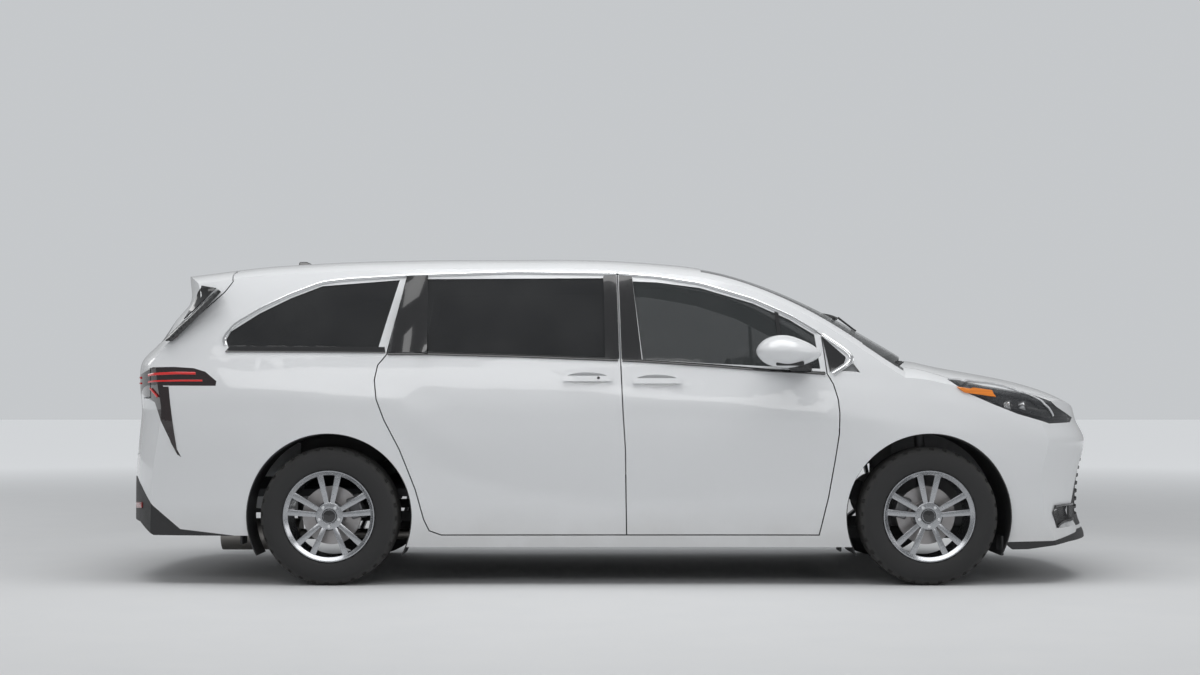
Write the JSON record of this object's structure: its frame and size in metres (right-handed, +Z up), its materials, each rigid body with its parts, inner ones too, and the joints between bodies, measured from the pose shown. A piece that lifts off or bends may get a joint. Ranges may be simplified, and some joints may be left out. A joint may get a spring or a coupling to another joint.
{
  "type": "minivan",
  "caption": "Family minivan with hinged front doors, bonnet and tailgate, steered front wheels, sliding side doors fixed shut and a full cabin.",
  "frame": {"origin": "centre of the car's box, on the floor under the tyres", "axes": "+X towards the nose, +Y towards the left side, +Z up"},
  "size_m": [5.1712, 2.426, 1.7126],
  "materials": {
    "body_paint": "pearl white clear coat",
    "clear_glass": "lightly tinted",
    "tinted_glass": "dark privacy tint",
    "lamp_clear": "clear lens",
    "lamp_red": "red lens",
    "black_plastic": "grained black",
    "cabin_plastic": "soft grained",
    "seat_cloth": "woven charcoal cloth",
    "tyre_rubber": "moulded rubber",
    "alloy": "machined and clear coated",
    "chassis_black": "chassis black",
    "underbody": "primer grey",
    "castings": "as cast",
    "bare_steel": "heat dulled"
  },
  "bodies": {
    "root": {"floor_pan": "underbody", "bulkhead": "underbody", "engine_block": "castings", "radiator": "castings", "fuel_tank": "black_plastic", "exhaust": "bare_steel", "rear_suspension": "chassis_black", "front_suspension": "chassis_black", "side_frame_left": "body_paint", "side_frame_right": "body_paint", "roof_panel": "body_paint", "windscreen": "clear_glass", "cowl_panel": "black_plastic", "fender_left": "body_paint", "fender_right": "body_paint", "front_bumper": "body_paint", "grille": "black_plastic", "front_valance": "black_plastic", "headlamps": "lamp_clear", "rear_bumper": "body_paint", "rear_valance": "black_plastic", "tail_lamp_left": "lamp_red", "tail_lamp_right": "lamp_red", "sliding_door_left": "body_paint", "sliding_door_right": "body_paint", "fixed_side_glass": "tinted_glass", "dashboard": "cabin_plastic", "centre_console": "cabin_plastic", "front_seats": "seat_cloth", "middle_seats": "seat_cloth", "rear_bench": "seat_cloth", "wheel_liners": "black_plastic"},
    "front_door_left": {"front_door_left": "body_paint", "front_door_glass_left": "clear_glass", "door_mirror_left": "body_paint"},
    "knuckle_left": {"front_knuckle_left": "chassis_black"},
    "front_door_right": {"front_door_right": "body_paint", "front_door_glass_right": "clear_glass", "door_mirror_right": "body_paint"},
    "knuckle_right": {"front_knuckle_right": "chassis_black"},
    "bonnet": {"bonnet": "body_paint"},
    "tailgate": {"tailgate": "body_paint", "tailgate_glass": "tinted_glass", "tailgate_lamps": "lamp_red"},
    "steering_wheel": {"steering_wheel": "cabin_plastic"},
    "wheel_front_left": {"tyre_front_left": "tyre_rubber", "rim_front_left": "alloy"},
    "wheel_front_right": {"tyre_front_right": "tyre_rubber", "rim_front_right": "alloy"},
    "wheel_rear_left": {"tyre_rear_left": "tyre_rubber", "rim_rear_left": "alloy"},
    "wheel_rear_right": {"tyre_rear_right": "tyre_rubber", "rim_rear_right": "alloy"}
  },
  "joints": [
    {"name": "front_door_left_hinge", "type": "hinge", "parent": "root", "child": "front_door_left", "pos_m": [1.02036, 0.9353, 0.61704], "axis": [0, 0, -1], "range_deg": [0, 65]},
    {"name": "steer_left", "type": "hinge", "parent": "root", "child": "knuckle_left", "pos_m": [1.614, 0.775, 0.25], "axis": [0, -0.1946, 0.9809], "range_deg": [-36, 36]},
    {"name": "front_door_right_hinge", "type": "hinge", "parent": "root", "child": "front_door_right", "pos_m": [1.02036, -0.9353, 0.61704], "axis": [0, 0, 1], "range_deg": [0, 65]},
    {"name": "steer_right", "type": "hinge", "parent": "root", "child": "knuckle_right", "pos_m": [1.614, -0.775, 0.25], "axis": [0, 0.1946, 0.9809], "range_deg": [-36, 36]},
    {"name": "bonnet_hinge", "type": "hinge", "parent": "root", "child": "bonnet", "pos_m": [1.43958, 0, 1.10553], "axis": [0, -1, 0], "range_deg": [0, 50]},
    {"name": "tailgate_hinge", "type": "hinge", "parent": "root", "child": "tailgate", "pos_m": [-1.99482, 0, 1.64201], "axis": [0, 1, 0], "range_deg": [0, 80]},
    {"name": "steering_wheel_turn", "type": "hinge", "parent": "root", "child": "steering_wheel", "pos_m": [0.61, 0.39, 1.00269], "axis": [-0.9063, 0, 0.4226], "range_deg": [-504, 504]},
    {"name": "roll_front_left", "type": "hinge", "parent": "knuckle_left", "child": "wheel_front_left", "pos_m": [1.614, 0.862, 0.353], "axis": [0, 1, 0], "continuous": true},
    {"name": "roll_front_right", "type": "hinge", "parent": "knuckle_right", "child": "wheel_front_right", "pos_m": [1.614, -0.862, 0.353], "axis": [0, 1, 0], "continuous": true},
    {"name": "roll_rear_left", "type": "hinge", "parent": "root", "child": "wheel_rear_left", "pos_m": [-1.446, 0.862, 0.353], "axis": [0, 1, 0], "continuous": true},
    {"name": "roll_rear_right", "type": "hinge", "parent": "root", "child": "wheel_rear_right", "pos_m": [-1.446, -0.862, 0.353], "axis": [0, 1, 0], "continuous": true}
  ],
  "couplings": [
    {"joint": "steer_right", "follows": "steer_left", "ratio": 1},
    {"joint": "steering_wheel_turn", "follows": "steer_left", "ratio": 14}
  ]
}
